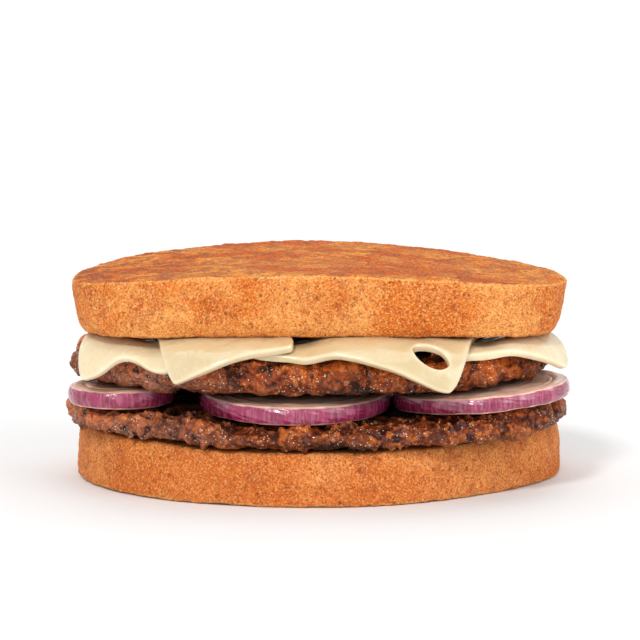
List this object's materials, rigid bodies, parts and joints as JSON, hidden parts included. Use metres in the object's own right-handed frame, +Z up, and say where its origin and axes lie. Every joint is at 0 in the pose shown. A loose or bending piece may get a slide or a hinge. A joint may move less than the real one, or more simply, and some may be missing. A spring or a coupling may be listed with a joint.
{
  "type": "patty melt sandwich",
  "caption": "Grilled melt sandwich: toasted bread slices round draped white cheese, beef patties and slices of red onion.",
  "frame": {"origin": "centre of the sandwich's box, on the surface that its lower slice rests on", "axes": "+X along the long side of the bread slices, +Y to the back, +Z up; the cheese corners hang lowest at the front, -Y"},
  "size_m": [0.141, 0.1044, 0.0622],
  "materials": {
    "toasted_bread": "dry toasted crust, golden orange with a fine grain",
    "grilled_beef": "coarse grilled mince with a greasy sheen",
    "red_onion": "wet purple skin, pale cut faces",
    "melted_cheese": "soft, half melted, slightly shiny"
  },
  "bodies": {
    "root": {"bread_lower": "toasted_bread", "bread_upper": "toasted_bread", "patty_lower": "grilled_beef", "patty_upper": "grilled_beef", "onion_front_left": "red_onion", "onion_front_middle": "red_onion", "onion_front_right": "red_onion", "onion_back_left": "red_onion", "onion_back_middle": "red_onion", "onion_back_right": "red_onion", "cheese_left": "melted_cheese", "cheese_middle_left": "melted_cheese", "cheese_middle_right": "melted_cheese", "cheese_right": "melted_cheese"}
  },
  "joints": []
}
